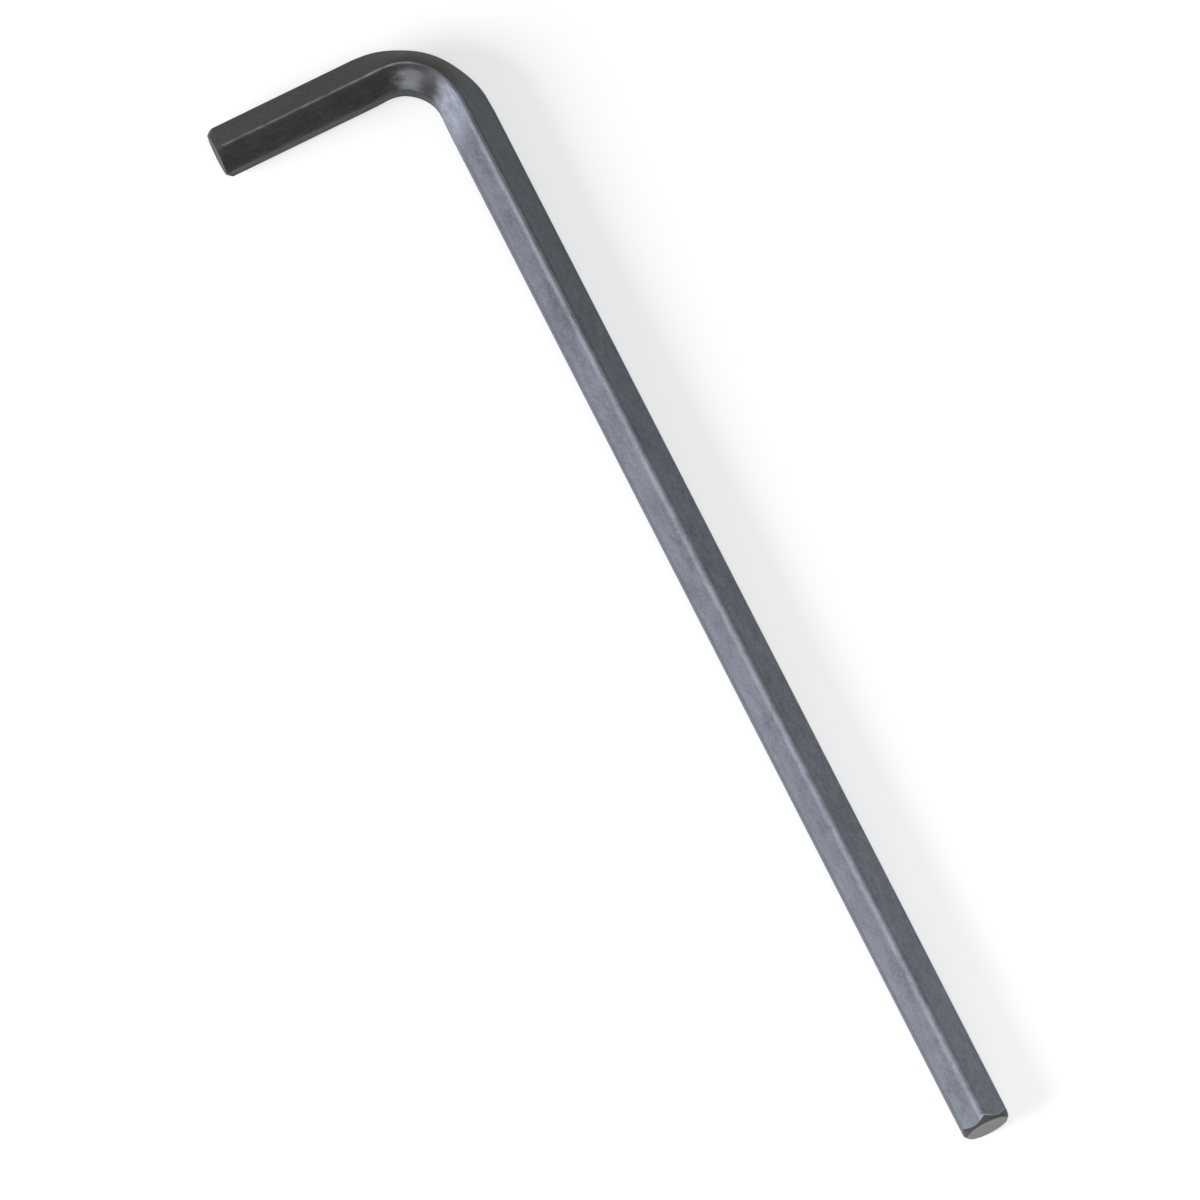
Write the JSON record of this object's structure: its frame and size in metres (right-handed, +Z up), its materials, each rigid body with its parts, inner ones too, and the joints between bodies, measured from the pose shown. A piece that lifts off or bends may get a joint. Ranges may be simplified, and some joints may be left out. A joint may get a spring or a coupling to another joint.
{
  "type": "hex key",
  "caption": "Long-arm hexagon key: a dark satin steel hexagonal bar, its short arm bent square to its long arm, with a conical chamfer on each tip.",
  "frame": {"origin": "on the surface that the key lies on, under the middle of its outline", "axes": "+Z up, square to the plane of the bend; +X along the long arm towards its tip; the short arm points along -Y"},
  "size_m": [0.208, 0.044, 0.009],
  "materials": {
    "blackened_steel": "black oxide, satin"
  },
  "bodies": {
    "root": {"hex_key": "blackened_steel"}
  },
  "joints": []
}
